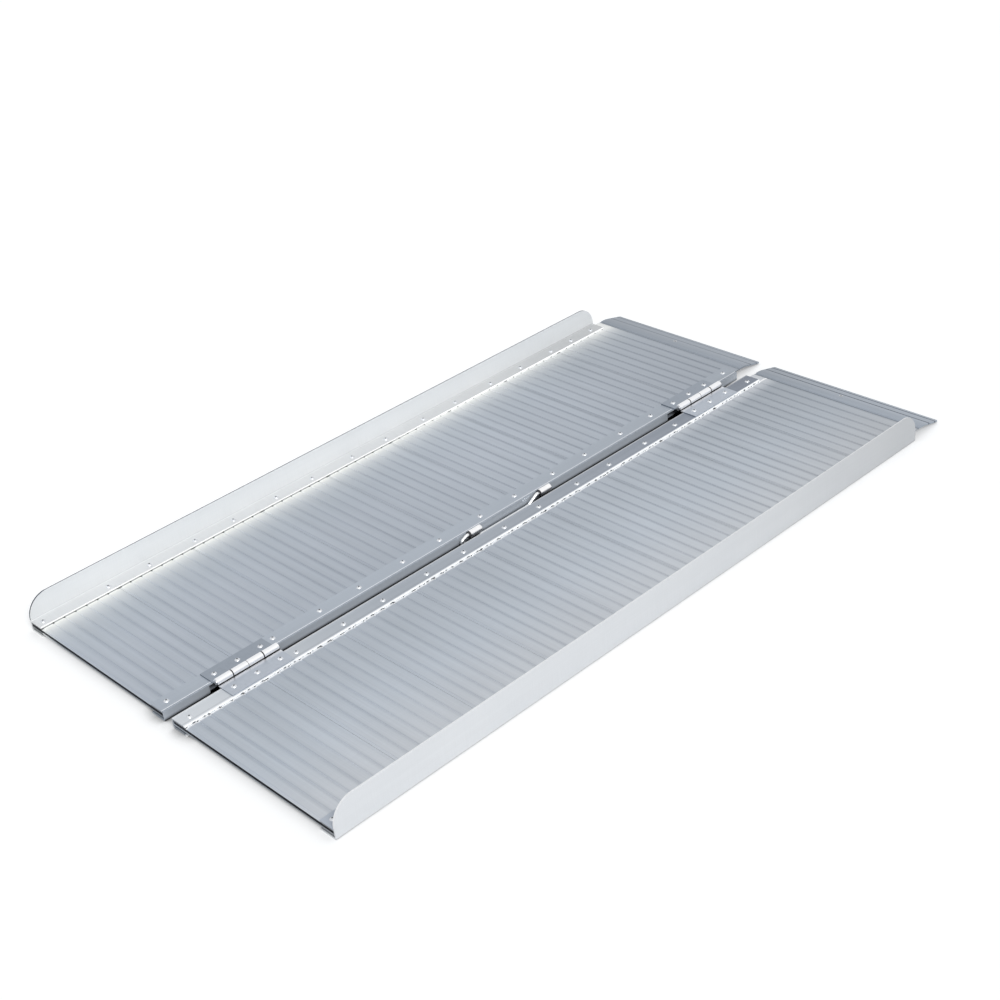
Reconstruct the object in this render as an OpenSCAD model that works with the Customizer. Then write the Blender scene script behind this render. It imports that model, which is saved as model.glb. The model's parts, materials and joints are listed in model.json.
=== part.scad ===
// Single-fold access ramp, shown open and lying flat on the floor.
// Two decks of interlocking ribbed planks, each held between a kerb rail and a centre channel,
// joined by two knuckled hinges. Millimetres, +Z up, low end towards -Y, landing lips at +Y.

/* [Overall] */
// Width over both kerbs
overall_w = 716; // [600:1:900]
// Gap between the two centre channels
centre_gap = 20.4; // [18:0.1:30]
// Depth of the rails, from the floor to the top of their flanges
rail_d = 17; // [16.5:0.1:30]
// Height of the kerbs above the flanges
kerb_up = 37.9; // [30:0.1:70]

/* [Deck planks] */
// Width of one plank along the ramp
plank_p = 137.3; // [130:0.1:180]
// Thickness of a plank
deck_t = 8.5; // [8:0.1:11]
// Thickness of its ribbed top skin
skin_t = 2; // [1.5:0.1:2.5]
// Thickness of its bottom skin
under_t = 1.6; // [1:0.1:2]
// Thickness of the webs between the skins
web_t = 1.5; // [1:0.1:2.5]
// Distance between the grooves of the tread
rib_p = 19.3; // [16:0.1:19.5]
// Width of a tread groove
groove_w = 3.6; // [2:0.1:6]
// Depth of a tread groove
groove_d = 1; // [0.4:0.1:1.2]
// Width of the wide groove where two planks meet
joint_w = 9; // [6:0.1:12]
// Depth of the wide groove
joint_d = 0.8; // [0.4:0.1:1.2]
// Reach of a plank's tongue into the next plank
tongue_l = 7.5; // [5:0.1:10]
// Thickness of the tongue
tongue_t = 3.4; // [2.5:0.1:3.8]
// Play round the tongue
tongue_play = 0.1; // [0.05:0.01:0.3]
// How far the deck runs on behind the rails
deck_past = 15.7; // [10:0.1:19]
// Play between a plank's ends and the rails
end_play = 0.3; // [0.1:0.1:1]

/* [Landing lips] */
// Length of a lip behind the deck
lip_l = 56.3; // [45:0.1:90]
// Thickness of the lip
lip_t = 2.6; // [2:0.1:4]
// Downward slope of the lip in degrees
lip_slope = 14; // [8:0.5:15]
// Radius of the bend on the lip's top face
lip_bend_r = 60; // [30:1:90]
// Flat stretch of the lip before its bend
lip_flat = 8; // [7:0.1:12]
// Set-back of a lip from the channel's face
lip_inner = 6.8; // [3:0.1:20]
// Set-back of a lip from the kerb's outer face
lip_outer = 5.3; // [4:0.1:20]
// Distance by which the thick parts stand back from a lip's two ends
lip_recess = 10; // [6:0.1:16]
// Diameter of the hole in each lip
lip_hole_d = 6; // [3:0.1:8]
// Distance of that hole behind the deck
lip_hole_y = 22; // [20:0.1:40]
// Radius of a lip's rear corners
lip_corner_r = 3; // [2:0.1:12]
// Distances of the two fine grooves from the lip's rear edge
lip_line_1 = 26; // [20:0.1:30]
lip_line_2 = 9; // [6:0.1:14]
// Width of a fine groove
lip_line_w = 1.5; // [1:0.1:2]

/* [Kerb rails] */
// Thickness of the kerb wall
kerb_t = 2.5; // [2:0.1:4]
// Reach of the kerb's flange over the deck, from its outer face
kerb_flange = 29.8; // [26:0.1:40]
// Reach of the kerb's foot under the deck, from its outer face
kerb_foot = 31; // [12:0.1:40]
// Radius of the kerb's front top corner
kerb_front_r = 36; // [10:0.5:37]
// Radius of the kerb's rear top corner
kerb_rear_r = 34; // [10:0.5:37]
// Radius of the kerb's lower outer corner
kerb_low_r = 2.5; // [0.5:0.1:3.5]
// Chamfer along the kerb's top edges
kerb_chamfer = 0.4; // [0.2:0.1:0.8]
// Radius of the fillets inside the rails
rail_fillet = 1.5; // [0.5:0.1:2]

/* [Rail sections] */
// Thickness of the flanges over the deck
flange_t = 2; // [1.5:0.1:3]
// Thickness of the feet under the deck
foot_t = 2.5; // [1.5:0.1:3]
// Thickness of the channel's upright web
channel_web = 2; // [1.5:0.1:3]
// Width of the channel's flange
channel_flange = 30.8; // [28:0.1:45]
// Width of the channel's foot
channel_foot = 30.8; // [20:0.1:40]
// Radius of the channel's lower outer corner
channel_low_r = 4; // [0.5:0.1:4.5]
// Chamfer along the channel's flange
channel_chamfer = 0.4; // [0.2:0.1:0.8]
// Distance of the scribed line from the channel's face
line_in = 3; // [2.5:0.1:12]
// Width of the scribed line
line_w = 1; // [0.4:0.1:2]

/* [Rivets] */
// Diameter of a rivet's head
head_d = 8.4; // [7:0.1:10]
// Height of a rivet's head
head_h = 2.2; // [1.5:0.1:3]
// Diameter of a rivet's shank
shank_d = 4.8; // [4:0.1:5.5]
// Diameter of its upset tail
tail_d = 7; // [6.2:0.1:8]
// Height of its upset tail
tail_h = 1.8; // [1:0.1:2.2]
// Room round and under a tail
tail_play = 0.4; // [0.2:0.1:0.6]
// Diameter of the mandrel hole in its head
mandrel_d = 2.8; // [1.5:0.1:3]
// Depth of the mandrel hole
mandrel_h = 1.2; // [0.5:0.1:1.6]
// Distance of the channel's end rivets from its ends
rivet_end = 17.5; // [10:0.1:30]
// Distance of the kerb's first rivet from the low end
kerb_rivet_first = 11.5; // [8:0.1:20]
// Distance of the kerb's last rivet from its rear end
kerb_rivet_last = 23; // [15:0.1:30]
// Distance of the first pair of rivets from the low end
rivet_first = 202; // [198:0.5:230]
// Spacing of the two rivets of a pair
rivet_pair = 86.6; // [60:0.1:100]
// Spacing of the pairs
rivet_pitch = 162; // [150:0.5:180]
// Distance of the channel rivets from the channel's face
channel_rivet_x = 17; // [15:0.1:20]
// Distance of the kerb rivets from the kerb's outer face
kerb_rivet_x = 17.5; // [14:0.1:20]
// Spacing of the kerb's last three rivets
kerb_rivet_gap = 53; // [30:0.5:60]

/* [Hinges] */
// Length of a hinge
hinge_l = 108; // [90:0.5:130]
// Distance of the front hinge's middle from the low end
hinge_front = 136.5; // [120:0.5:140]
// Distance of the rear hinge's middle from the rails' rear ends
hinge_rear = 113.5; // [100:0.5:125]
// Thickness of a leaf
leaf_t = 2; // [1.5:0.1:3]
// Reach of a leaf from the pin's axis
leaf_w = 38.5; // [34:0.1:40]
// Outer diameter of the knuckles
knuckle_d = 11; // [9:0.1:12]
// Gap between one knuckle and the next
knuckle_gap = 0.4; // [0.2:0.1:1]
// Gap between a knuckle and the other leaf
leaf_gap = 0.8; // [0.6:0.1:1.5]
// Diameter of a hinge pin
pin_d = 5; // [4:0.1:6]
// Radial play of a pin in its knuckles
pin_play = 0.05; // [0.02:0.01:0.1]
// Diameter of a pin's peened heads
pin_head_d = 7; // [6.5:0.1:8]
// Height of a pin's peened heads
pin_head_h = 1; // [0.5:0.1:2]
// Spacing of a leaf's rivets
hinge_rivet_gap = 40.5; // [30:0.5:42]
// Distance of a leaf's rivets from the pin's axis
hinge_rivet_x = 23.5; // [20:0.1:28]
// Distance of the notch under the front hinge from the low end
front_notch_y = 77; // [74:0.5:80]
// Length of that notch
front_notch_l = 123; // [118:0.5:126]
// Distance of the notch under the rear hinge from the low end
rear_notch_y = 1036; // [1030:0.5:1046]
// Length of that notch
rear_notch_l = 142; // [130:0.5:146]
// Depth of the notches from the channel's face
notch_in = 9; // [4:0.1:9.5]
// Radius of the web's lower corners beside the notches
notch_r = 4.5; // [1:0.1:6]

/* [Carrying handle] */
// Distance of the front sleeve from the low end
sleeve_y = 568; // [540:0.5:590]
// Distance from the front sleeve to the rear one
handle_span = 153; // [120:0.5:160]
// Length of a sleeve
sleeve_l = 23; // [15:0.1:30]
// Outer diameter of a sleeve
sleeve_d = 11.6; // [11:0.1:12.4]
// Depth of a sleeve's axis below the flange top
sleeve_drop = 1.9; // [1:0.1:2.5]
// Thickness of the foot that joins a sleeve to the channel
sleeve_foot_t = 2; // [1.5:0.1:2.4]
// Depth of that foot below the sleeve's axis
sleeve_foot_h = 7; // [6.5:0.1:8]
// Diameter of the handle's rod
rod_d = 6; // [5:0.1:6.2]
// Radial play of the rod in its bushes
rod_play = 0.05; // [0.02:0.01:0.1]
// Wall of a bush
bush_t = 1.2; // [0.8:0.1:1.5]
// Thickness of a bush's collar
bush_collar = 1.6; // [1:0.1:3]
// Clearance of the handle from the floor
floor_gap = 0.5; // [0.3:0.1:1]
// Radius of the handle's open bends
bend_r = 12; // [8:0.1:14]
// Length of the straight between the front bends
leg_l = 7.5; // [4:0.1:8]
// Slope of the front leg in degrees
front_slope = 22; // [18:0.5:24]
// Slope of the rear leg in degrees
rear_slope = 30; // [25:0.5:40]

/* [Hidden] */
$fn = 48;

plank_n = 9;
knuckle_n = 4;
pair_n = 6;
eps = 0.01;
through = 100;

half_w = overall_w / 2;
half_gap = centre_gap / 2;
deck_l = plank_n * plank_p;
rail_l = deck_l - deck_past;
total_l = deck_l + lip_l;
flange_top = rail_d;
deck_top = flange_top - flange_t;
deck_base = deck_top - deck_t;
kerb_top = flange_top + kerb_up;
plank_in = half_gap + channel_web + end_play;
plank_out = half_w - kerb_t - end_play;
lip_x0 = half_gap + lip_inner;
lip_x1 = half_w - lip_outer;

// The tread grooves of one plank, centred on it
rib_n = 7;
groove_first = (plank_p - (rib_n - 2) * rib_p) / 2;
grooves = [for (i = [0 : rib_n - 2]) groove_first + i * rib_p];

// Heights of the tongue and of the slot that takes it
tongue_mid = deck_base + deck_t / 2;
slot_t = tongue_t + 2 * tongue_play;
slot_l = tongue_l + end_play;

// Rivet rows, measured from the low end
channel_pairs = [for (i = [0 : pair_n - 1]) for (j = [0, 1])
    if (i < pair_n - 1 || j == 0) rivet_first + i * rivet_pitch + j * rivet_pair];
channel_row = concat([rivet_end], channel_pairs, [rail_l - rivet_end]);
kerb_row = concat(
    [kerb_rivet_first, rivet_first + rivet_pair - rivet_pitch],
    channel_pairs,
    [for (i = [2 : -1 : 0]) rail_l - kerb_rivet_last - i * kerb_rivet_gap]
);
hinge_mids = [hinge_front, rail_l - hinge_rear];
hinge_row = [for (m = hinge_mids) for (j = [-1 : 1]) m + j * hinge_rivet_gap];
notches = [[front_notch_y, front_notch_l], [rear_notch_y, rear_notch_l]];
channel_x = half_gap + channel_rivet_x;
kerb_x = half_w - kerb_rivet_x;
hole_r = shank_d / 2 + 0.05;
leaf_top = flange_top + leaf_t;

// The hinge axis stands so that the knuckles' undersides lie just under the leaves' undersides
knuckle_sink = 0.2;
axis_z = flange_top + knuckle_d / 2 - knuckle_sink;
knuckle_l = hinge_l / knuckle_n;

// The handle's sleeves lie against the left channel's face
sleeve_x = -half_gap + sleeve_d / 2;
sleeve_z = flange_top - sleeve_drop;
run_z = floor_gap + rod_d / 2;
drop = sleeve_z - run_z;
bush_d = rod_d + 2 * rod_play + 2 * bush_t;
collar_d = sleeve_d - 1;
pin_in = sleeve_l - 1;

// Puts a child drawn from the low end into the part's own frame
module placed() {
    translate([0, -total_l / 2, 0]) children();
}

// The left panel is the right panel's mirror image
module on_left() {
    mirror([1, 0, 0]) children();
}

// Extrudes an outline of X and Z along Y
module along_y(length) {
    translate([0, length, 0]) rotate([90, 0, 0]) linear_extrude(length) children();
}

// Extrudes an outline of Y and Z along X, between two places
module along_x(x0, x1) {
    translate([x0, 0, 0]) rotate([90, 0, 90]) linear_extrude(x1 - x0) children();
}

// Quarter-round filling of an inside corner, drawn towards +X and +Y
module fillet(r) {
    difference() {
        translate([-eps, -eps]) square(r + eps);
        translate([r, r]) circle(r);
    }
}

// One tread groove with sloping sides, as the points of its outline from front to back
function groove_points(y, w, d) = [
    [y - w / 2, deck_top], [y - w / 4, deck_top - d], [y + w / 4, deck_top - d], [y + w / 2, deck_top]
];

// Outline of a plank, from its front lower corner round its top to its tongue
module plank_outline() {
    polygon(concat(
        [[0, deck_base], [0, deck_top - joint_d], [joint_w / 2 - joint_d, deck_top - joint_d],
         [joint_w / 2, deck_top]],
        [for (y = grooves) for (p = groove_points(y, groove_w, groove_d)) p],
        [[plank_p - joint_w / 2, deck_top], [plank_p - joint_w / 2 + joint_d, deck_top - joint_d],
         [plank_p - end_play, deck_top - joint_d],
         [plank_p - end_play, tongue_mid + tongue_t / 2],
         [plank_p + tongue_l - 1, tongue_mid + tongue_t / 2],
         [plank_p + tongue_l, tongue_mid + tongue_t / 2 - 1],
         [plank_p + tongue_l, tongue_mid - tongue_t / 2 + 1],
         [plank_p + tongue_l - 1, tongue_mid - tongue_t / 2],
         [plank_p - end_play, tongue_mid - tongue_t / 2],
         [plank_p - end_play, deck_base]]
    ));
}

// The hollow cells between the webs, which stand under the tread grooves
module plank_cells() {
    walls = concat([slot_l + web_t], grooves, [plank_p - end_play - web_t]);
    for (i = [0 : len(walls) - 2]) {
        y0 = walls[i] + (i == 0 ? 0 : web_t / 2);
        y1 = walls[i + 1] - (i == len(walls) - 2 ? 0 : web_t / 2);
        translate([y0, deck_base + under_t]) square([y1 - y0, deck_t - under_t - skin_t]);
    }
}

// The slot in a plank's front edge
module plank_slot() {
    translate([-eps, tongue_mid - slot_t / 2]) square([slot_l + eps, slot_t]);
}

module plank_section() {
    difference() {
        plank_outline();
        plank_cells();
        plank_slot();
    }
}

// Drilling for one rivet through a flange and a plank's top skin, with room for its tail
module drilling(x, y, top) {
    translate([x, y, deck_top - skin_t - eps]) cylinder(h = top - deck_top + skin_t + 1, r = hole_r);
}

module tail_room(x, y) {
    room = tail_h + tail_play;
    translate([x, y, deck_top - skin_t - room]) cylinder(h = room + eps, r = tail_d / 2 + tail_play);
}

// All rivet places of one panel as X and Y pairs
rivet_spots = concat(
    [for (y = channel_row) [channel_x, y]],
    [for (y = hinge_row) [hinge_rivet_x, y]],
    [for (y = kerb_row) [kerb_x, y]]
);

// One plank of the right panel, counted from the low end
module plank(i) {
    y0 = (i - 1) * plank_p;
    difference() {
        translate([0, y0, 0]) along_x(plank_in, plank_out) plank_section();
        for (s = rivet_spots) {
            if (s[1] > y0 - tail_d && s[1] < y0 + plank_p + tongue_l + tail_d) {
                drilling(s[0], s[1], flange_top);
                tail_room(s[0], s[1]);
            }
        }
        for (n = notches) hinge_notch(n[0], n[1], deck_top - skin_t);
        if (i == plank_n) {
            past_corners();
            thin_ends(deck_top - skin_t);
        }
    }
}

// What is cut from the last plank where it leaves the rails
module past_corners() {
    translate([0, rail_l, -1]) cube([lip_x0, through, rail_d + 2]);
    translate([lip_x1, rail_l, -1]) cube([through, through, rail_d + 2]);
}

// Leaves only the top skin, above a height, at the two ends of what stands behind the rails
module thin_ends(height) {
    for (x = [lip_x0 - lip_recess, lip_x1 - lip_recess])
        translate([x, rail_l - eps, -1]) cube([2 * lip_recess, lip_l + deck_past + 1, height + 1]);
}

// Profile of a landing lip in Y and Z, measured from the rear edge of the deck
lip_steps = 8;
lip_arc = [for (i = [0 : lip_steps])
    let (a = lip_slope * i / lip_steps)
    [lip_flat + lip_bend_r * sin(a), deck_top - lip_bend_r * (1 - cos(a))]];
lip_end_top = deck_top - lip_bend_r * (1 - cos(lip_slope))
    - (lip_l - lip_flat - lip_bend_r * sin(lip_slope)) * tan(lip_slope);
function lip_under(p, a) = [p[0] - lip_t * sin(a), p[1] - lip_t * cos(a)];

// Points round the top, the rear edge and the underside of the bent plate
lip_bent = concat(
    [[0, deck_top - joint_d], [joint_w / 2 - joint_d, deck_top - joint_d], [joint_w / 2, deck_top]],
    lip_arc,
    [[lip_l - 1, lip_end_top + tan(lip_slope)], [lip_l, lip_end_top - lip_t / 2],
     [lip_l - 1, lip_end_top - lip_t]],
    [for (i = [lip_steps : -1 : 1]) lip_under(lip_arc[i], lip_slope * i / lip_steps)]
);

// Outline of the bent plate alone
module lip_plate() {
    polygon(concat([[0, deck_top - lip_t]], lip_bent, [[lip_flat, deck_top - lip_t]]));
}

// Outline of the whole lip, with the hollow part that takes the last plank's tongue
module lip_section() {
    block_l = slot_l + 2 * web_t;
    difference() {
        polygon(concat([[0, deck_base]], lip_bent, [[block_l, deck_top - lip_t - 1], [block_l, deck_base]]));
        plank_slot();
        for (d = [lip_line_1, lip_line_2]) lip_groove(d);
    }
}

// A fine groove across the sloping part of the lip, at a distance from its rear edge
module lip_groove(d) {
    translate([lip_l - d, lip_end_top + d * tan(lip_slope)]) rotate(45 - lip_slope)
        square(lip_line_w / sqrt(2), center = true);
}

module landing_lip() {
    difference() {
        translate([0, deck_l, 0]) along_x(lip_x0, lip_x1) lip_section();
        difference() {
            thin_ends(deck_top);
            translate([0, deck_l, 0]) along_x(0, half_w) lip_plate();
        }
        translate([(lip_x0 + lip_x1) / 2, deck_l + lip_hole_y, -1]) cylinder(h = rail_d + 2, d = lip_hole_d);
        corner_cut(lip_x0, total_l, 1);
        corner_cut(lip_x1, total_l, -1);
    }
}

// Rounds off one rear corner of the lip
module corner_cut(x, y, side) {
    r = lip_corner_r;
    translate([x + side * r, y - r, -1]) difference() {
        translate([side > 0 ? -r - 1 : 0, 0, 0]) cube([r + 1, r + 1, rail_d + 2]);
        translate([0, 0, -1]) cylinder(h = rail_d + 4, r = r);
    }
}

// Square that cuts a chamfer from the corner at the origin
module chamfer(c) {
    rotate(45) square(c * sqrt(2), center = true);
}

// Kerb rail: wall with chamfered top edges, flange over the deck, foot under it
module kerb_section() {
    x_in = half_w - kerb_t;
    difference() {
        union() {
            translate([x_in, 0]) square([kerb_t, kerb_top]);
            translate([half_w - kerb_flange, deck_top]) square([kerb_flange - kerb_t + eps, flange_t]);
            translate([half_w - kerb_foot, 0]) square([kerb_foot - kerb_t + eps, foot_t]);
            translate([x_in, flange_top]) mirror([1, 0]) fillet(rail_fillet);
            translate([x_in, foot_t]) mirror([1, 0]) fillet(rail_fillet);
        }
        translate([half_w, 0]) mirror([1, 0]) fillet(kerb_low_r);
        translate([half_w, kerb_top]) chamfer(kerb_chamfer);
        translate([x_in, kerb_top]) chamfer(kerb_chamfer);
        translate([half_w - kerb_flange, flange_top]) chamfer(kerb_chamfer);
    }
}

// Rounds off a top corner of the kerb: side is 1 at the low end, -1 at the rear
module kerb_corner(y, side, r) {
    translate([half_w - kerb_flange, y + side * r, kerb_top - r]) difference() {
        translate([0, side > 0 ? -r - 1 : 0, 0]) cube([kerb_flange + 1, r + 1, r + 1]);
        translate([-1, 0, 0]) rotate([0, 90, 0]) cylinder(h = kerb_flange + 3, r = r);
    }
}

module kerb_rail() {
    difference() {
        along_y(rail_l) kerb_section();
        kerb_corner(0, 1, kerb_front_r);
        kerb_corner(rail_l, -1, kerb_rear_r);
        for (y = kerb_row) drilling(kerb_x, y, flange_top);
    }
}

// Centre channel: upright web with a flange over the deck and a foot under it
module channel_section() {
    difference() {
        union() {
            translate([half_gap, 0]) square([channel_web, rail_d]);
            translate([half_gap, deck_top]) square([channel_flange, flange_t]);
            translate([half_gap, 0]) square([channel_foot, foot_t]);
            translate([half_gap + channel_web, foot_t]) fillet(rail_fillet);
        }
        translate([half_gap, 0]) fillet(channel_low_r);
        translate([half_gap + line_in, flange_top]) chamfer(line_w / 2);
        translate([half_gap + channel_flange, flange_top]) chamfer(channel_chamfer);
        translate([half_gap, flange_top]) chamfer(channel_chamfer);
    }
}

// The notch under a hinge, open at the bottom, with rounded corners left on the web beside it
module hinge_notch(y, l, top) {
    translate([0, y, 0]) along_x(half_gap - 1, half_gap + notch_in) {
        translate([0, -1]) square([l, top + 1]);
        translate([l, 0]) fillet(notch_r);
        mirror([1, 0]) fillet(notch_r);
    }
}

module centre_channel() {
    difference() {
        along_y(rail_l) channel_section();
        for (n = notches) hinge_notch(n[0], n[1], deck_top);
        for (y = channel_row) drilling(channel_x, y, flange_top);
        for (y = hinge_row) drilling(hinge_rivet_x, y, flange_top);
    }
}

// One blind rivet standing on its grip, head up
module rivet(grip) {
    cap_r = (head_d * head_d / 4 + head_h * head_h) / (2 * head_h);
    rotate_extrude() difference() {
        union() {
            intersection() {
                translate([0, head_h - cap_r]) circle(cap_r, $fn = 96);
                square([head_d, head_h + 1]);
            }
            translate([0, -grip]) square([shank_d / 2, grip + eps]);
            translate([0, -grip - tail_h]) square([tail_d / 2, tail_h]);
        }
        translate([-1, head_h - mandrel_h]) square([mandrel_d / 2 + 1, head_h]);
        translate([-2 * cap_r, -2 * cap_r]) square([2 * cap_r, 4 * cap_r]);
    }
}

module rivet_row(x, ys, seat) {
    for (y = ys) translate([x, y, seat]) rivet(seat - deck_top + skin_t);
}

// Which leaf holds a knuckle: the right one has the first and the third from the low end
function on_right(k) = k % 2 == 0;

// A hinge leaf. side is 1 for the right leaf and -1 for the left
module hinge_leaf(mid, side) {
    y0 = mid - hinge_l / 2;
    clear = knuckle_d / 2 + leaf_gap;
    difference() {
        union() {
            translate([side > 0 ? clear : -leaf_w, y0, flange_top]) cube([leaf_w - clear, hinge_l, leaf_t]);
            for (k = [0 : knuckle_n - 1]) {
                if (on_right(k) == (side > 0)) knuckle(y0 + k * knuckle_l, side, clear);
            }
        }
        translate([0, y0 - 1, axis_z]) rotate([-90, 0, 0])
            cylinder(h = hinge_l + 2, r = pin_d / 2 + pin_play);
        for (j = [-1 : 1]) drilling(side * hinge_rivet_x, mid + j * hinge_rivet_gap, leaf_top);
    }
}

// One knuckle with the stretch of plate that runs into it
module knuckle(y, side, clear) {
    l = knuckle_l - knuckle_gap;
    translate([0, y + knuckle_gap / 2, 0]) along_y(l) {
        translate([0, axis_z]) circle(knuckle_d / 2);
        translate([side > 0 ? 0 : -clear - 1, flange_top]) square([clear + 1, leaf_t]);
    }
}

module hinge_pin(mid) {
    l = hinge_l - knuckle_gap;
    translate([0, mid - l / 2, axis_z]) rotate([-90, 0, 0]) {
        cylinder(h = l, d = pin_d);
        translate([0, 0, -pin_head_h]) cylinder(h = pin_head_h, d = pin_head_d);
        translate([0, 0, l]) cylinder(h = pin_head_h, d = pin_head_d);
    }
}

// A sleeve of the handle with its foot on the channel's face
module handle_sleeve(y) {
    difference() {
        translate([0, y, 0]) along_y(sleeve_l) {
            translate([sleeve_x, sleeve_z]) circle(sleeve_d / 2);
            translate([-half_gap, sleeve_z - sleeve_foot_h]) square([sleeve_foot_t, sleeve_foot_h]);
        }
        translate([sleeve_x, y - 1, sleeve_z]) rotate([-90, 0, 0])
            cylinder(h = sleeve_l + 2, d = bush_d);
    }
}

// A bush with a collar in front of its sleeve
module handle_bush(y) {
    translate([sleeve_x, y, sleeve_z]) rotate([-90, 0, 0]) difference() {
        union() {
            cylinder(h = sleeve_l, d = bush_d);
            translate([0, 0, -bush_collar]) cylinder(h = bush_collar, d = collar_d);
        }
        translate([0, 0, -bush_collar - 1])
            cylinder(h = sleeve_l + bush_collar + 2, d = rod_d + 2 * rod_play);
    }
}

// A stretch of the rod's route in the YZ plane: points round a centre, each with its heading
function bend(cy, cz, r, from, turn, n) = [for (i = [0 : n])
    let (a = from + turn * i / n)
    [cy + r * cos(a), cz + r * sin(a), a + (turn > 0 ? 90 : -90)]];

// The handle's route from its front pin, round the hook and back along the run to its rear pin
front = -bush_collar - 1;
rear_y = handle_span + front;
hook_r = (drop - bend_r * (1 - cos(front_slope)) - leg_l * sin(front_slope)) / (1 + cos(front_slope));
rear_l = (drop - 2 * bend_r * (1 - cos(rear_slope))) / sin(rear_slope);
hook_y = front - bend_r * sin(front_slope) - leg_l * cos(front_slope) + hook_r * sin(front_slope);
run_end = rear_y - 2 * bend_r * sin(rear_slope) - rear_l * cos(rear_slope);
route = concat(
    bend(front, -bend_r, bend_r, 90, front_slope, 4),
    bend(hook_y, hook_r - drop, hook_r, 90 + front_slope, 180 - front_slope, 12),
    bend(run_end, bend_r - drop, bend_r, 270, rear_slope, 5),
    bend(rear_y, -bend_r, bend_r, 90 + rear_slope, -rear_slope, 5)
);
rod_sides = 24;

// The bent rod between its pins, swept along the route
module bent_rod() {
    r = rod_d / 2 - eps;
    points = [for (p = route) for (k = [0 : rod_sides - 1])
        let (t = 360 * k / rod_sides)
        [r * cos(t), p[0] - r * sin(t) * sin(p[2]), p[1] + r * sin(t) * cos(p[2])]];
    last = (len(route) - 1) * rod_sides;
    walls = [for (i = [0 : len(route) - 2]) for (k = [0 : rod_sides - 1])
        let (a = i * rod_sides + k, b = i * rod_sides + (k + 1) % rod_sides)
        [a, b, b + rod_sides, a + rod_sides]];
    ends = [
        [for (k = [rod_sides - 1 : -1 : 0]) k],
        [for (k = [0 : rod_sides - 1]) last + k]
    ];
    polyhedron(points, concat(walls, ends));
}

// A straight end of the rod, which turns in its bush
module handle_pin(y) {
    translate([0, y, 0]) rotate([-90, 0, 0]) cylinder(h = pin_in - front, d = rod_d);
}

module carrying_handle() {
    translate([sleeve_x, sleeve_y, sleeve_z]) {
        handle_pin(front);
        bent_rod();
        handle_pin(rear_y);
    }
}

module left_kerb_rail() { color("gainsboro") placed() on_left() kerb_rail(); }
module right_kerb_rail() { color("gainsboro") placed() kerb_rail(); }
module left_centre_channel() { color("silver") placed() on_left() centre_channel(); }
module right_centre_channel() { color("silver") placed() centre_channel(); }
module left_plank(i) { color("lightsteelblue") placed() on_left() plank(i); }
module right_plank(i) { color("lightsteelblue") placed() plank(i); }
module left_landing_lip() { color("lightslategray") placed() on_left() landing_lip(); }
module right_landing_lip() { color("lightslategray") placed() landing_lip(); }
module kerb_rivets() { color("whitesmoke") rivet_row(kerb_x, kerb_row, flange_top); }
module channel_rivets() { color("whitesmoke") rivet_row(channel_x, channel_row, flange_top); }
module hinge_rivets() { color("whitesmoke") rivet_row(hinge_rivet_x, hinge_row, leaf_top); }
module left_kerb_rivets() { placed() on_left() kerb_rivets(); }
module right_kerb_rivets() { placed() kerb_rivets(); }
module left_channel_rivets() { placed() on_left() channel_rivets(); }
module right_channel_rivets() { placed() channel_rivets(); }
module left_hinge_rivets() { placed() on_left() hinge_rivets(); }
module right_hinge_rivets() { placed() hinge_rivets(); }
module front_hinge_left_leaf() { color("white") placed() hinge_leaf(hinge_mids[0], -1); }
module front_hinge_right_leaf() { color("white") placed() hinge_leaf(hinge_mids[0], 1); }
module rear_hinge_left_leaf() { color("white") placed() hinge_leaf(hinge_mids[1], -1); }
module rear_hinge_right_leaf() { color("white") placed() hinge_leaf(hinge_mids[1], 1); }
module front_hinge_pin() { color("lightgray") placed() hinge_pin(hinge_mids[0]); }
module rear_hinge_pin() { color("lightgray") placed() hinge_pin(hinge_mids[1]); }
module front_handle_sleeve() { color("white") placed() handle_sleeve(sleeve_y); }
module rear_handle_sleeve() { color("white") placed() handle_sleeve(sleeve_y + handle_span); }
module handle_bushes() {
    color("dimgray") placed() {
        handle_bush(sleeve_y);
        handle_bush(sleeve_y + handle_span);
    }
}
module handle() { color("lightgray") placed() carrying_handle(); }

left_kerb_rail();
right_kerb_rail();
left_centre_channel();
right_centre_channel();
for (i = [1 : plank_n]) {
    left_plank(i);
    right_plank(i);
}
left_landing_lip();
right_landing_lip();
left_kerb_rivets();
right_kerb_rivets();
left_channel_rivets();
right_channel_rivets();
left_hinge_rivets();
right_hinge_rivets();
front_hinge_left_leaf();
front_hinge_right_leaf();
rear_hinge_left_leaf();
rear_hinge_right_leaf();
front_hinge_pin();
rear_hinge_pin();
front_handle_sleeve();
rear_handle_sleeve();
handle_bushes();
handle();  // carrying_handle
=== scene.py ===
"""Looks of a single-fold aluminium access ramp, lying open on a pale floor."""
import json
import math

import bpy
from mathutils import Matrix, Vector


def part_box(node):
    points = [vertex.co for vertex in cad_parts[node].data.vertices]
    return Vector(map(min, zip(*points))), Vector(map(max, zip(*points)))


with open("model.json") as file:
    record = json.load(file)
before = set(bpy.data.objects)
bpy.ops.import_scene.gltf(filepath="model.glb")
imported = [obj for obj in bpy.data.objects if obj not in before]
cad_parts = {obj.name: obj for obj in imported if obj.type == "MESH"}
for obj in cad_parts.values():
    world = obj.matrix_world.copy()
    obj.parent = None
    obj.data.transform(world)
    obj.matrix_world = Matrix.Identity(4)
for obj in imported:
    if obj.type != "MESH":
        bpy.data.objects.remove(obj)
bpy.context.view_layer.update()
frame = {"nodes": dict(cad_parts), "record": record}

# Camera: place, aim and roll of the photograph's view, in metres and degrees
CAMERA_PLACE = Vector((1.7407, -1.5145, 1.4170))
CAMERA_AIM = Vector((0.5703, -0.5044, 0.4952))
CAMERA_ROLL = -6.568
CAMERA_FAR = 100
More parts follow.
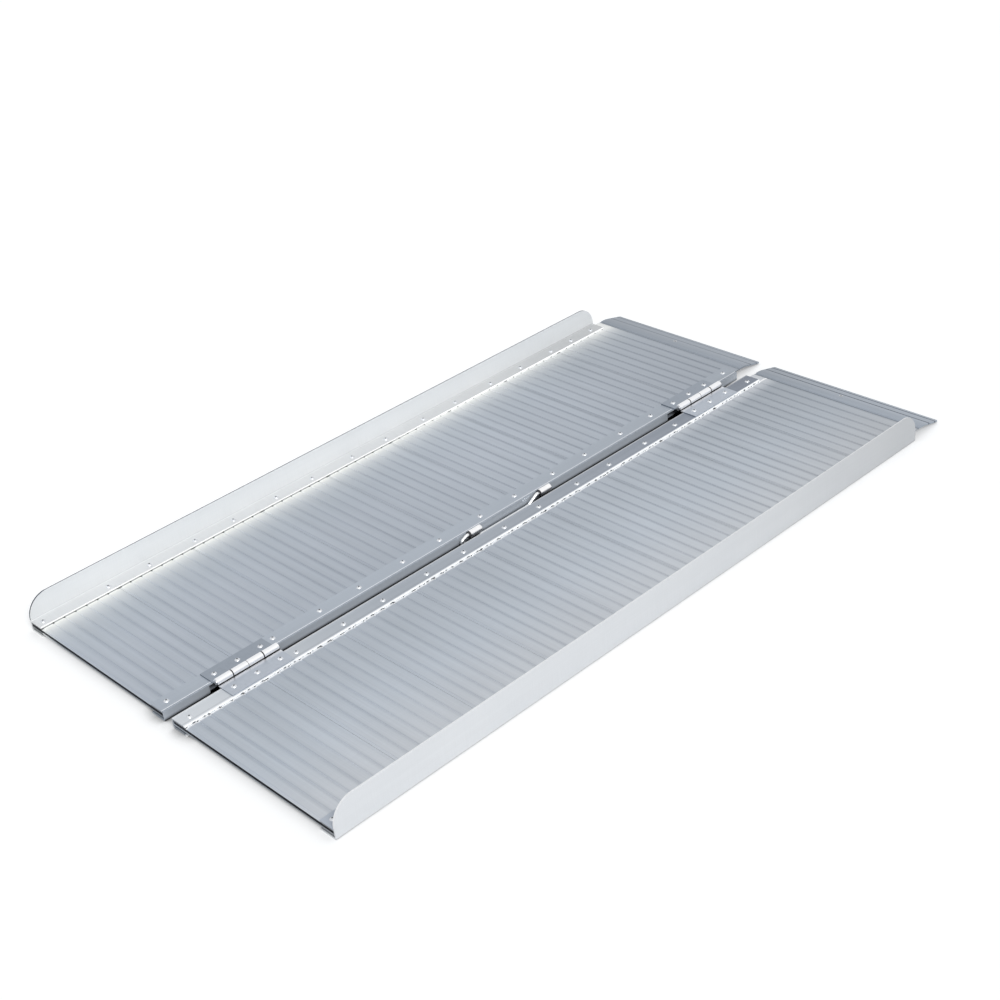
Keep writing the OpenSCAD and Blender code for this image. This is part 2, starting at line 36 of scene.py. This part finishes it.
LENS = 62.268
SENSOR = 36.0

# Stage: a floor with painted shade where the ramp stands close to it, most of all in the fold's gap
FLOOR_SIZE = 30.0
FLOOR_COLOUR = (0.80, 0.80, 0.80)
FLOOR_SEEN = 0.28
FLOOR_SHADOW_REACH = 0.05
FLOOR_SHADE = 0.80
FLOOR_SHADE_SPAN = (0.25, 0.90)
GAP_SHADE_HALF_W = 0.03
GAP_SHADE_END = 0.57
WHITE = (1, 1, 1)
WORLD_LIGHT = (0.94, 0.97, 1.0)
WORLD_STRENGTH = 0.5
SUN_FROM = Vector((3.0, -1.2, 3.0))
SUN_STRENGTH = 2.1
SUN_ANGLE = 30

# Axes of the die lines
ALONG_X, ALONG_Y = 0, 1

# Places on the part, read from the frame, in metres
FLANGE_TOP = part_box("left_centre_channel")[1][2]
DECK_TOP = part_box("left_plank_1")[1][2]
HALF_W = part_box("right_kerb_rail")[1][0]
HALF_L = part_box("right_landing_lip")[1][1]
LIP_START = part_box("right_landing_lip")[0][1]
CHANNEL_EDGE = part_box("right_centre_channel")[1][0]
CHANNEL_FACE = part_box("right_centre_channel")[0][0]
HINGE_MIDS = [
    sum(corner[1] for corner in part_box(f"{end}_hinge_right_leaf")) / 2 for end in ("front", "rear")
]

# Places that the frame's boxes don't give, in metres
KERB_EDGE = -0.3282
KERB_WALL = 0.3555
BARREL_R = 0.0055
KNUCKLE = 0.027
LIP_HOLE_X, LIP_HOLE_Y, LIP_HOLE_R = 0.18485, 0.6117, 0.003
PLANKS, PLANK_P = 9, 0.1373
GROOVE_FIRST, RIB_P = 0.0204, 0.0193
GROOVE_ZONE = 0.002

# Painted lines and bands, most of them painted light and shade, in metres: widths, places, and how
# softly an edge ends
SOFT = 0.0002
LIP_LINES = (0.620, 0.637)
LIP_LINE_HALF_W = 0.0014
CHANNEL_FADE = 0.03
KERB_FADE = 0.055
KERB_REFLECTION_W = 0.10
KERB_REFLECTION_LENGTH = 0.019
KERB_REFLECTION_PEAK = 1.31
SHEEN_W = 0.034
SCRIBED_LINE = -(CHANNEL_FACE + 0.0030)

# Colours of the metal
DECK = (0.570, 0.600, 0.642)
LIP = (0.370, 0.412, 0.470)
KERB = (0.765, 0.775, 0.780)
CHANNEL = (0.440, 0.480, 0.535)
LEAF = (0.45, 0.49, 0.55)
BARREL = (0.86, 0.87, 0.89)
RIVET = (0.68, 0.70, 0.73)
PIN = (0.72, 0.73, 0.75)
SLEEVE = (0.92, 0.92, 0.93)
BUSH = (0.03, 0.03, 0.035)
ROD = (0.86, 0.87, 0.88)

# Painted shade across the ramp, from the left kerb to the right one
DECK_ACROSS = [
    (0.0, (0.86, 0.90, 0.93)),
    (0.25, (0.83, 0.86, 0.90)),
    (0.42, (0.79, 0.82, 0.86)),
    (0.62, (0.81, 0.84, 0.87)),
    (0.78, (0.91, 0.94, 0.97)),
    (0.93, (1.0, 1.0, 1.0)),
]
LIP_ACROSS = [(0, 0.80), (0.45, 0.90), (0.53, 0.82), (0.75, 0.96), (1, 1.0)]

# Painted shade along the ramp, from the low end to the landing lips
DECK_ALONG = [(0.0, 1.0), (0.39, 0.96), (0.58, 1.0), (0.76, 0.95), (0.92, 0.84)]
CHANNEL_ALONG = [(0.0, 0.96), (0.25, 1.0), (0.60, 0.97), (0.92, 0.84)]
KERB_ALONG = [(0.0, 1.0), (0.40, 0.96), (0.60, 0.90), (0.78, 0.80), (0.92, 0.71)]

# Painted shade by height: of the deck, from GROOVE_ZONE under its top, and of a channel's face, from
# the floor
GROOVE_PAINTED_SHADE = [
    (0.0, 0.5),
    (0.45, 0.92),
    (0.51, 0.93),
    (0.555, 0.97),
    (0.60, 0.96),
    (0.66, 0.88),
    (0.90, 0.90),
    (0.945, 1.0),
]
GROOVE_MOUTH = 0.93
FACE_PAINTED_SHADE = [(0.10, 0.02), (0.26, 0.7), (0.4, 1.0)]


class Graph:
    """A node tree, with short ways to add what the looks need."""

    def __init__(self, tree):
        self.tree = tree

    def add(self, kind, **settings):
        node = self.tree.nodes.new(kind)
        for name, value in settings.items():
            setattr(node, name, value)
        return node

    def link(self, a, b):
        self.tree.links.new(a, b)

    def feed(self, socket, value):
        """Sets a socket to a number, a colour or another node's output."""
        if isinstance(value, bpy.types.NodeSocket):
            self.link(value, socket)
        else:
            socket.default_value = (*value, 1) if isinstance(value, tuple) else value

    def split(self, vector):
        node = self.add("ShaderNodeSeparateXYZ")
        self.link(vector, node.inputs[0])
        return node.outputs

    def math(self, operation, a, b=0.0):
        node = self.add("ShaderNodeMath", operation=operation)
        self.feed(node.inputs[0], a)
        self.feed(node.inputs[1], b)
        return node.outputs[0]

    def span(self, value, low, high, start=0.0, end=1.0, smooth=False):
        """Maps start to end on to low to high."""
        node = self.add("ShaderNodeMapRange", interpolation_type="SMOOTHSTEP" if smooth else "LINEAR")
        self.feed(node.inputs["From Min"], start)
        self.feed(node.inputs["From Max"], end)
        self.feed(node.inputs["To Min"], low)
        self.feed(node.inputs["To Max"], high)
        self.link(value, node.inputs["Value"])
        return node.outputs["Result"]

    def mixed(self, kind, factor, under, over):
        """One colour over another."""
        node = self.add("ShaderNodeMix", data_type="RGBA", blend_type=kind)
        self.feed(node.inputs["Factor"], factor)
        self.feed(node.inputs["A"], under)
        self.feed(node.inputs["B"], over)
        return node.outputs["Result"]

    def closeness(self, reach):
        """A node whose AO is 1 in the open, and falls where surfaces within reach close in."""
        node = self.add("ShaderNodeAmbientOcclusion")
        node.inputs["Distance"].default_value = reach
        return node

    def seen_directly(self):
        """1 for rays from the camera, a gloss or glass, and 0 for the light that falls on surfaces."""
        path = self.add("ShaderNodeLightPath").outputs
        gloss = self.math("MAXIMUM", path["Is Camera Ray"], path["Is Glossy Ray"])
        return self.math("MAXIMUM", gloss, path["Is Transmission Ray"])


class Finish(Graph):
    """A material's node tree, with the running base colour that the finishes paint on."""

    def __init__(self, name):
        self.material = bpy.data.materials.new(name)
        self.material.use_nodes = True
        super().__init__(self.material.node_tree)
        self.shader = self.tree.nodes["Principled BSDF"]
        coords = self.add("ShaderNodeTexCoord")
        self.place = coords.outputs["Object"]
        self.x, self.y, self.z = self.split(self.place)
        self.facing_x = self.split(coords.outputs["Normal"])["X"]
        self.base = None

    def noise(self, scale, detail=3.0, rough=0.5):
        """Noise in the object's own coordinates, scaled along each axis."""
        mapping = self.add("ShaderNodeMapping")
        mapping.inputs["Scale"].default_value = scale
        self.link(self.place, mapping.inputs["Vector"])
        node = self.add("ShaderNodeTexNoise")
        node.inputs["Scale"].default_value = 1
        node.inputs["Detail"].default_value = detail
        node.inputs["Roughness"].default_value = rough
        self.link(mapping.outputs[0], node.inputs["Vector"])
        return node.outputs["Fac"]

    def ramp(self, value, stops):
        """Colours, or grey levels, at stops of a value."""
        node = self.add("ShaderNodeValToRGB")
        element = node.color_ramp.elements
        while len(element) < len(stops):
            element.new(0.5)
        for e, (position, colour) in zip(element, stops):
            e.position = position
            e.color = (*colour, 1) if isinstance(colour, tuple) else (colour, colour, colour, 1)
        self.link(value, node.inputs["Fac"])
        return node.outputs["Color"]

    def above(self, value, level, soft=SOFT):
        """1 where a value is over a level, 0 where it is under."""
        return self.span(value, 0, 1, level - soft, level + soft, smooth=True)

    def below(self, value, level, soft=SOFT):
        """1 where a value is under a level, 0 where it is over."""
        return self.span(value, 1, 0, level - soft, level + soft, smooth=True)

    def between(self, value, low, high, soft=SOFT):
        """1 where a value lies in a range."""
        return self.math("MULTIPLY", self.above(value, low, soft), self.below(value, high, soft))

    def both(self, *factors):
        """The product of two or more factors."""
        out = factors[0]
        for factor in factors[1:]:
            out = self.math("MULTIPLY", out, factor)
        return out

    def paint(self, factor, colour):
        """Lays a colour over the base."""
        self.base = self.mixed("MIX", factor, self.base, colour)

    def stain(self, factor, colour):
        """Multiplies the base by a colour."""
        self.base = self.mixed("MULTIPLY", factor, self.base, colour)

    def paint_crevice_shade(self, reach, depth):
        """Painted shade: darkens what other surfaces closely surround."""
        near = self.closeness(reach)
        near.samples = 12
        self.stain(1.0, self.ramp(near.outputs["AO"], depth))

    def across(self, stops):
        """Painted shade on the metal from the left kerb to the right one."""
        self.stain(1.0, self.ramp(self.span(self.x, 0, 1, -HALF_W, HALF_W), stops))

    def from_low_end(self, stops):
        """Levels from the low end to the landing lips, used for painted shade along the ramp."""
        return self.ramp(self.span(self.y, 0, 1, -HALF_L, HALF_L), stops)

    def bump(self, height, strength, distance, below=None):
        node = self.add("ShaderNodeBump")
        node.inputs["Strength"].default_value = strength
        node.inputs["Distance"].default_value = distance
        self.link(height, node.inputs["Height"])
        if below:
            self.link(below, node.inputs["Normal"])
        return node.outputs["Normal"]

    def done(self, metal=1.0):
        self.link(self.base, self.shader.inputs["Base Color"])
        self.shader.inputs["Metallic"].default_value = metal
        return self.material


def make_camera():
    """The camera at the photograph's viewing angle."""
    data = bpy.data.cameras.new("camera")
    data.sensor_width = SENSOR
    data.lens = LENS
    data.clip_end = CAMERA_FAR
    camera = bpy.data.objects.new("camera", data)
    bpy.context.scene.collection.objects.link(camera)
    forward = (CAMERA_AIM - CAMERA_PLACE).normalized()
    right = forward.cross(Vector((0, 0, 1))).normalized()
    up = right.cross(forward)
    roll = math.radians(CAMERA_ROLL)
    turned_right = right * math.cos(roll) + up * math.sin(roll)
    turned_up = up * math.cos(roll) - right * math.sin(roll)
    axes = Matrix((turned_right, turned_up, -forward)).transposed().to_4x4()
    camera.matrix_world = Matrix.Translation(CAMERA_PLACE) @ axes
    bpy.context.scene.camera = camera


def soft_sun(name, place, strength, angle):
    """A broad, soft, distant lamp that shines from a place towards the origin."""
    data = bpy.data.lights.new(name, "SUN")
    data.energy = strength
    data.angle = math.radians(angle)
    lamp = bpy.data.objects.new(name, data)
    bpy.context.scene.collection.objects.link(lamp)
    lamp.location = place
    lamp.rotation_euler = (-place).to_track_quat("-Z", "Y").to_euler()


def make_world():
    """Plain cool light on the object, and a white background."""
    world = bpy.data.worlds.new("world")
    world.use_nodes = True
    world.node_tree.nodes.clear()
    g = Graph(world.node_tree)
    mix = g.add("ShaderNodeMixShader")
    g.link(g.seen_directly(), mix.inputs["Fac"])
    for place, colour, strength in ((1, WORLD_LIGHT, WORLD_STRENGTH), (2, WHITE, 1)):
        light = g.add("ShaderNodeBackground")
        g.feed(light.inputs["Color"], colour)
        g.feed(light.inputs["Strength"], strength)
        g.link(light.outputs[0], mix.inputs[place])
    g.link(mix.outputs[0], g.add("ShaderNodeOutputWorld").inputs["Surface"])
    bpy.context.scene.world = world


def make_floor():
    """A plain pale floor that keeps the ramp's shadow, with painted shade near the ramp and in the
    fold's gap.
    """
    half = FLOOR_SIZE / 2
    corners = [(-half, -half, 0), (half, -half, 0), (half, half, 0), (-half, half, 0)]
    mesh = bpy.data.meshes.new("floor")
    mesh.from_pydata(corners, [], [(0, 1, 2, 3)])
    floor = bpy.data.objects.new("floor", mesh)
    bpy.context.scene.collection.objects.link(floor)
    material = bpy.data.materials.new("floor")
    material.use_nodes = True
    material.node_tree.nodes.clear()
    g = Graph(material.node_tree)
    x, y, _ = g.split(g.add("ShaderNodeTexCoord").outputs["Object"])
    # Painted shade: dark in the fold's gap and behind it, and wherever the ramp closes in
    beside = g.span(g.math("ABSOLUTE", x), 0, FLOOR_SHADE, GAP_SHADE_HALF_W, 2 * GAP_SHADE_HALF_W)
    behind = g.span(y, 0, FLOOR_SHADE, GAP_SHADE_END - GAP_SHADE_HALF_W, GAP_SHADE_END)
    near = g.closeness(FLOOR_SHADOW_REACH).outputs["AO"]
    painted_floor_shade = g.span(near, g.math("MAXIMUM", beside, behind), 1, *FLOOR_SHADE_SPAN)
    matt = g.add("ShaderNodeBsdfDiffuse")
    g.link(g.mixed("MULTIPLY", 1, FLOOR_COLOUR, painted_floor_shade), matt.inputs["Color"])
    glow = g.add("ShaderNodeEmission")
    g.link(painted_floor_shade, glow.inputs["Color"])
    g.link(g.math("MULTIPLY", g.seen_directly(), FLOOR_SEEN), glow.inputs["Strength"])
    both = g.add("ShaderNodeAddShader")
    g.link(matt.outputs[0], both.inputs[0])
    g.link(glow.outputs[0], both.inputs[1])
    g.link(both.outputs[0], g.add("ShaderNodeOutputMaterial").inputs["Surface"])
    floor.data.materials.append(material)


def shade(colour, factor):
    return tuple(c * factor for c in colour)


def streaks(along, fine, coarse):
    """A noise scale that is coarse along one axis and fine along the others."""
    return tuple(coarse if i == along else fine for i in range(3))


def extruded(name, colour, rough, along, spread=0.03, lined=0.5):
    """Mill-finish aluminium with fine die lines along one axis, soft clouds and small pits."""
    n = Finish(name)
    lines = n.noise(streaks(along, 700, 5), 4, 0.6)
    bands = n.noise(streaks(along, 60, 1.2), 2)
    clouds = n.noise((6, 6, 6), 3, 0.6)
    brushed = n.noise(streaks(along, 25, 900), 3)
    grain = n.noise((700, 700, 700), 2)
    uneven_levels = [(0.3, 0.86), (0.62, 1.0)]
    n.base = n.ramp(bands, [(0.3, shade(colour, 1 - spread)), (0.7, shade(colour, 1 + spread))])
    n.stain(1.0, n.ramp(clouds, [(0.3, (0.95, 0.955, 0.96)), (0.7, (1, 1, 1))]))
    n.stain(lined, n.ramp(lines, uneven_levels))
    n.stain(0.20, n.ramp(brushed, uneven_levels))
    n.link(n.span(clouds, rough - 0.06, rough + 0.08), n.shader.inputs["Roughness"])
    low = n.bump(grain, 0.10, 0.0002)
    n.link(n.bump(lines, 0.20, 0.0002, low), n.shader.inputs["Normal"])
    return n


def shade_grooves(n, left, right, depth):
    """Paints shade in the grooves, less by the left kerb and the right channel, and a painted
    highlight in their mouths towards the low end.
    """
    near_channel = n.span(n.x, 0.45, 1, CHANNEL_EDGE, CHANNEL_EDGE + CHANNEL_FADE, smooth=True)
    near_kerb = n.span(n.x, 0.25, 1, KERB_EDGE, KERB_EDGE + KERB_FADE, smooth=True)
    shown = n.math("MAXIMUM", n.both(left, near_kerb), n.both(right, near_channel))
    n.stain(shown, n.ramp(depth, GROOVE_PAINTED_SHADE))
    # A painted highlight that lightens the grooves' mouths towards the low end
    n.stain(n.both(n.below(depth, GROOVE_MOUTH, 0.02), n.below(n.y, -0.15, 0.40)), (1.12, 1.12, 1.12))

    # Painted shade: a soft, uneven dark band beside each groove
    uneven_levels = n.span(n.noise((2.5, 22, 0), 2), 0.45, 1.0, 0.35, 0.65)
    plank = n.math("FRACT", n.span(n.y, 0, PLANKS, -HALF_L, PLANKS * PLANK_P - HALF_L))
    ribs = n.span(plank, 0.5 - GROOVE_FIRST / RIB_P, 0.5 + (PLANK_P - GROOVE_FIRST) / RIB_P)
    along_rib = n.math("FRACT", n.math("ADD", ribs, 2.0))
    off_groove = n.math("ABSOLUTE", n.math("SUBTRACT", along_rib, 0.5))
    fading = n.span(off_groove, 0, 1, 0.06, 0.30, smooth=True)
    n.stain(n.both(shown, uneven_levels), n.ramp(fading, [(0, (0.88, 0.89, 0.90)), (1, 1.0)]))


def deck_aluminium():
    """Ribbed planks: painted shade in soft dark grooves, a painted reflection of the left kerb as a
    bright band along it, and a dark low end edge of painted shade.
    """
    n = extruded("deck_aluminium", DECK, 0.42, ALONG_X)
    left, right = n.below(n.x, 0), n.above(n.x, 0)
    # Painted shade across the ramp, and along it towards the lips
    n.across(DECK_ACROSS)
    n.stain(1.0, n.from_low_end(DECK_ALONG))
    depth = n.span(n.z, 0, 1, DECK_TOP - GROOVE_ZONE, DECK_TOP + 0.0001)
    shade_grooves(n, left, right, depth)
    on_ribs = n.span(depth, 0.55, 1)

    # A painted reflection of the left kerb as a bright band beside it, and painted shade as a dark
    # line under that kerb's flange
    fall = n.math("EXPONENT", n.span(n.x, 0, -KERB_REFLECTION_W / KERB_REFLECTION_LENGTH, KERB_EDGE, KERB_EDGE + KERB_REFLECTION_W))
    glow = n.math("MINIMUM", n.math("MULTIPLY", fall, KERB_REFLECTION_PEAK), 1.0)
    n.paint(n.both(left, glow, n.span(n.y, 1.0, 0.65, 0.0, 0.60), on_ribs), (0.98, 0.98, 0.95))
    under_flange = n.span(n.x, 1, 0, KERB_EDGE + 0.0018, KERB_EDGE + 0.0030)
    n.stain(n.both(left, under_flange, n.below(n.y, 0.10, 0.10)), (0.30, 0.31, 0.32))
    n.paint_crevice_shade(0.006, [(0.10, 0.03), (0.30, 0.35), (0.50, 1.0)])

    # A painted reflection of the right channel's edge as a bright line beside it, and a painted sheen
    # towards the lips
    past_edge = n.above(n.x, CHANNEL_EDGE + 0.0006)
    rim = n.both(past_edge, n.span(n.x, 1, 0, CHANNEL_EDGE + 0.0018, CHANNEL_EDGE + 0.0050))
    n.paint(n.both(rim, n.above(n.z, DECK_TOP - 0.0011, 0.0001)), (0.90, 0.91, 0.92))
    beside = n.span(n.x, 1, 0, CHANNEL_EDGE, CHANNEL_EDGE + SHEEN_W, smooth=True)
    sheen = n.both(right, beside, n.span(n.y, 0, 0.38, 0.15, 0.60))
    n.paint(n.both(sheen, on_ribs), (0.93, 0.94, 0.96))

    # The low end's open edge: a black band of painted shade across its front
    low_end = n.below(n.y, -HALF_L + 0.0012, 0.0003)
    slot = n.between(n.z, DECK_TOP - 0.0045, DECK_TOP - 0.0012, 0.0003)
    n.paint(n.both(low_end, slot), (0.04, 0.04, 0.05))
    return n.done()


def lip_aluminium():
    """Landing lips: darker than the deck, with painted shade across them, two fine dark lines of
    painted shade in fine grooves, painted shade in their hollows, and a dark rear edge.
    """
    n = extruded("lip_aluminium", LIP, 0.40, ALONG_X)
    n.across(LIP_ACROSS)
    shown = n.span(n.x, 0.4, 1.0, -0.05, 0.05)
    # Painted shade in the two fine grooves, fainter on the left lip
    for line in LIP_LINES:
        stripe = n.between(n.y, line - LIP_LINE_HALF_W, line + LIP_LINE_HALF_W, 0.0004)
        n.stain(n.both(shown, stripe), (0.30, 0.31, 0.34))
    n.stain(n.both(shown, n.between(n.y, LIP_START, LIP_START + 0.0015, 0.0004)), (0.55, 0.56, 0.58))
    n.stain(n.above(n.y, HALF_L - 0.0015, 0.0004), (0.36, 0.37, 0.40))
    n.paint_crevice_shade(0.004, [(0.1, 0.05), (0.5, 1.0)])

    # The bright rim of the hole
    aside = n.math("SUBTRACT", n.math("ABSOLUTE", n.x), LIP_HOLE_X)
    along = n.math("SUBTRACT", n.y, LIP_HOLE_Y)
    squares = n.math("ADD", n.math("MULTIPLY", aside, aside), n.math("MULTIPLY", along, along))
    n.paint(n.below(n.math("SQRT", squares), LIP_HOLE_R + 0.0003, 0.0002), (0.95, 0.95, 0.95))
    return n.done()


def kerb_aluminium():
    """Kerb rails: pale satin walls, with painted shade on the right kerb, at the left wall's foot and
    towards the lips, a painted highlight on the left flange's edge, and a thin outline along the top,
    a painted dark reflection on the left wall and a painted highlight on the right one.
    """
    n = extruded("kerb_aluminium", KERB, 0.46, ALONG_Y, 0.012, 0.15)
    left, right = n.below(n.x, 0), n.above(n.x, 0)
    # Painted shade: the right kerb a little darker than the left
    n.stain(right, (0.93, 0.94, 0.96))

    # Painted shade towards the lips: strong on all but the left kerb's wall, which keeps most of its
    # tone
    wall = n.both(left, n.above(n.z, FLANGE_TOP + 0.0015))
    rear_shade_share = n.math("SUBTRACT", 1.0, n.math("MULTIPLY", wall, 0.85))
    n.stain(rear_shade_share, n.from_low_end(KERB_ALONG))

    # The wall's foot, and the flanges' edges: painted shade at the left wall's foot and on the right
    # kerb's flange, and a painted highlight on the left flange's edge
    n.stain(n.both(left, n.between(n.z, FLANGE_TOP + 0.0008, FLANGE_TOP + 0.0022)), (0.90, 0.90, 0.90))
    edge = n.between(n.z, DECK_TOP - 0.0001, FLANGE_TOP + 0.0004)
    n.paint(n.both(right, edge, n.below(n.x, KERB_WALL)), (0.42, 0.46, 0.52))
    n.paint(n.both(left, n.above(n.x, KERB_EDGE - 0.0012)), (0.99, 0.99, 0.99))

    # The rim of the wall: a painted dark reflection along the left wall's top, and a painted highlight
    # along the right one's
    sideways = n.math("ABSOLUTE", n.facing_x)
    rim = n.both(n.above(n.z, FLANGE_TOP + 0.0015), n.below(sideways, 0.5, 0.1))
    n.paint(n.both(left, rim), (0.03, 0.04, 0.06))
    n.paint(n.both(right, rim, 0.5), (0.95, 0.95, 0.95))
    n.paint_crevice_shade(0.010, [(0.15, 0.15), (0.5, 1.0)])
    return n.done(0.25)


def channel_aluminium():
    """Centre channels: streaked flanges, bright edges that are painted highlights, painted light and
    shade along and across them, and a scribed line by the fold with a painted highlight and painted
    shade on its sides.
    """
    n = extruded("channel_aluminium", CHANNEL, 0.40, ALONG_Y, 0.05, 0.35)
    left, right = n.below(n.x, 0), n.above(n.x, 0)
    # Painted shade: the left channel a little darker, and both darker towards the lips
    n.stain(left, (0.96, 0.97, 0.98))
    n.stain(1.0, n.from_low_end(CHANNEL_ALONG))
    flat = n.above(n.z, FLANGE_TOP - 0.0008)

    # Painted light on the right flange at the low end, and painted shade towards the lips
    n.paint(n.both(right, flat, n.below(n.y, -0.46, 0.24), 0.75), (0.84, 0.87, 0.90))
    n.stain(n.both(right, flat, n.span(n.y, 0, 1, -0.10, 0.62)), (0.62, 0.64, 0.70))

    # Its edge over the deck: a painted highlight, painted shade in short dark dashes below, and a
    # painted highlight along its corner by the gap
    n.paint(n.both(right, n.above(n.x, CHANNEL_EDGE - 0.0026, 0.0001)), (0.96, 0.97, 0.98))
    dashes = n.span(n.noise((0, 110, 0), 1), 0.0, 1.0, 0.52, 0.58)
    under_edge = n.both(n.above(n.facing_x, 0.5), n.between(n.z, DECK_TOP, DECK_TOP + 0.0012, 0.0001))
    n.paint(n.both(right, under_edge, dashes), (0.06, 0.07, 0.08))
    step = n.between(n.x, CHANNEL_EDGE - 0.0072, CHANNEL_EDGE - 0.0048, 0.0004)
    n.stain(n.both(right, step), (0.88, 0.88, 0.88))
    n.paint(n.both(right, n.below(n.x, CHANNEL_FACE + 0.0020, 0.0015), flat, 0.45), (0.90, 0.90, 0.90))
    n.stain(n.both(right, n.below(n.x, CHANNEL_EDGE - 0.0040)), (0.88, 0.88, 0.88))

    # The left flange's scribed line: a painted highlight on one side and painted shade on the other
    light_side = n.between(n.x, SCRIBED_LINE - 0.0012, SCRIBED_LINE + 0.0004)
    dark_side = n.between(n.x, SCRIBED_LINE + 0.0008, SCRIBED_LINE + 0.0022)
    n.paint(n.both(light_side, flat, 0.50), (0.93, 0.94, 0.95))
    n.stain(n.both(dark_side, flat), (0.62, 0.64, 0.67))

    # The left channel's face in the gap: painted lighter, with painted shade that darkens it towards
    # the floor
    face = n.both(left, n.above(n.x, -CHANNEL_FACE - 0.0004), n.below(n.z, FLANGE_TOP - 0.0008))
    n.paint(n.both(face, 0.6), (0.58, 0.62, 0.67))
    n.stain(face, n.ramp(n.span(n.z, 0, 1, 0, FLANGE_TOP), FACE_PAINTED_SHADE))
    n.paint_crevice_shade(0.004, [(0.10, 0.02), (0.30, 0.5), (0.5, 1.0)])
    return n.done(0.3)


def plated(name, colour, rough):
    """Bright plated metal with faint drawing marks; its callers add painted shade in crevices."""
    n = Finish(name)
    marks = n.noise((150, 150, 150), 3, 0.5)
    n.base = n.ramp(marks, [(0.3, shade(colour, 0.95)), (0.65, shade(colour, 1.02))])
    n.link(n.span(marks, rough - 0.05, rough + 0.1), n.shader.inputs["Roughness"])
    n.link(n.bump(n.noise((500, 500, 500), 3), 0.08, 0.0002), n.shader.inputs["Normal"])
    return n


def hinge_steel():
    """Hinges: dull leaves, with painted shade on the left ones and a painted highlight on the right
    ones by the barrel, and barrels painted bright, partly for their polish and partly as a painted
    highlight, with painted shade in their gaps and under them.
    """
    n = plated("hinge_steel", LEAF, 0.34)
    left, right = n.below(n.x, 0), n.above(n.x, 0)
    # Painted shade on the left leaves, and a painted highlight on the right leaves beside the barrel
    n.stain(left, (0.66, 0.68, 0.70))
    leaf_highlight = n.span(n.x, 1, 0, BARREL_R, BARREL_R + 0.009, smooth=True)
    n.paint(n.both(right, leaf_highlight, 0.75), (0.95, 0.95, 0.96))
    # The barrels painted bright, partly for their polish and partly as a painted highlight, then
    # painted shade in the gaps between knuckles, on a faint line at the middle, and under the barrel
    # on the right
    barrel = n.both(n.above(n.x, -BARREL_R - 0.0002), n.below(n.x, BARREL_R + 0.0002))
    n.paint(barrel, BARREL)
    for mid in HINGE_MIDS:
        for gap in (mid - KNUCKLE, mid + KNUCKLE):
            n.paint(n.both(barrel, n.between(n.y, gap - 0.0009, gap + 0.0009)), (0.02, 0.02, 0.02))
        n.stain(n.both(barrel, n.between(n.y, mid - 0.0005, mid + 0.0005)), (0.6, 0.6, 0.6))
    n.paint(n.both(barrel, n.below(n.z, FLANGE_TOP + 0.0028, 0.0008), right), (0.03, 0.03, 0.035))
    n.paint_crevice_shade(0.004, [(0.2, 0.02), (0.5, 0.6), (0.8, 1.0)])
    return n.done()


def rivet_aluminium():
    """Domed heads with a mandrel hole darkened by painted shade."""
    n = plated("rivet_aluminium", RIVET, 0.30)
    n.paint_crevice_shade(0.003, [(0.3, 0.03), (0.65, 0.8), (0.8, 1.0)])
    return n.done(0.6)


def bright_metal(name, colour, rough):
    """Plated rods and tubes, darkened in their corners by painted shade."""
    n = plated(name, colour, rough)
    n.paint_crevice_shade(0.006, [(0.15, 0.03), (0.5, 1.0)])
    return n.done()


def nylon(name, colour):
    """Dark moulded plastic with a fine grain."""
    n = Finish(name)
    specks = n.noise((900, 900, 900), 3)
    n.base = n.ramp(specks, [(0.3, shade(colour, 0.7)), (0.7, shade(colour, 1.3))])
    n.link(n.span(specks, 0.45, 0.65), n.shader.inputs["Roughness"])
    n.link(n.bump(specks, 0.2, 0.0001), n.shader.inputs["Normal"])
    return n.done(0.0)


def dress_frame():
    """Gives each part its finish."""
    finishes = {
        "deck_aluminium": deck_aluminium(),
        "lip_aluminium": lip_aluminium(),
        "kerb_aluminium": kerb_aluminium(),
        "channel_aluminium": channel_aluminium(),
        "rivet_aluminium": rivet_aluminium(),
        "hinge_steel": hinge_steel(),
        "pin_steel": bright_metal("pin_steel", PIN, 0.25),
        "sleeve_steel": bright_metal("sleeve_steel", SLEEVE, 0.30),
        "bush_plastic": nylon("bush_plastic", BUSH),
        "rod_steel": bright_metal("rod_steel", ROD, 0.22),
    }
    for row in frame["record"]["subparts"]:
        node = frame["nodes"][row["node"]]
        finish = finishes[row["material_slot"]]
        for slot in node.material_slots:
            slot.material = finish
        if not node.material_slots:
            node.data.materials.append(finish)


make_camera()
make_world()
make_floor()
soft_sun("key", SUN_FROM, SUN_STRENGTH, SUN_ANGLE)
dress_frame()

view = bpy.context.scene.view_settings
view.view_transform = "Standard"
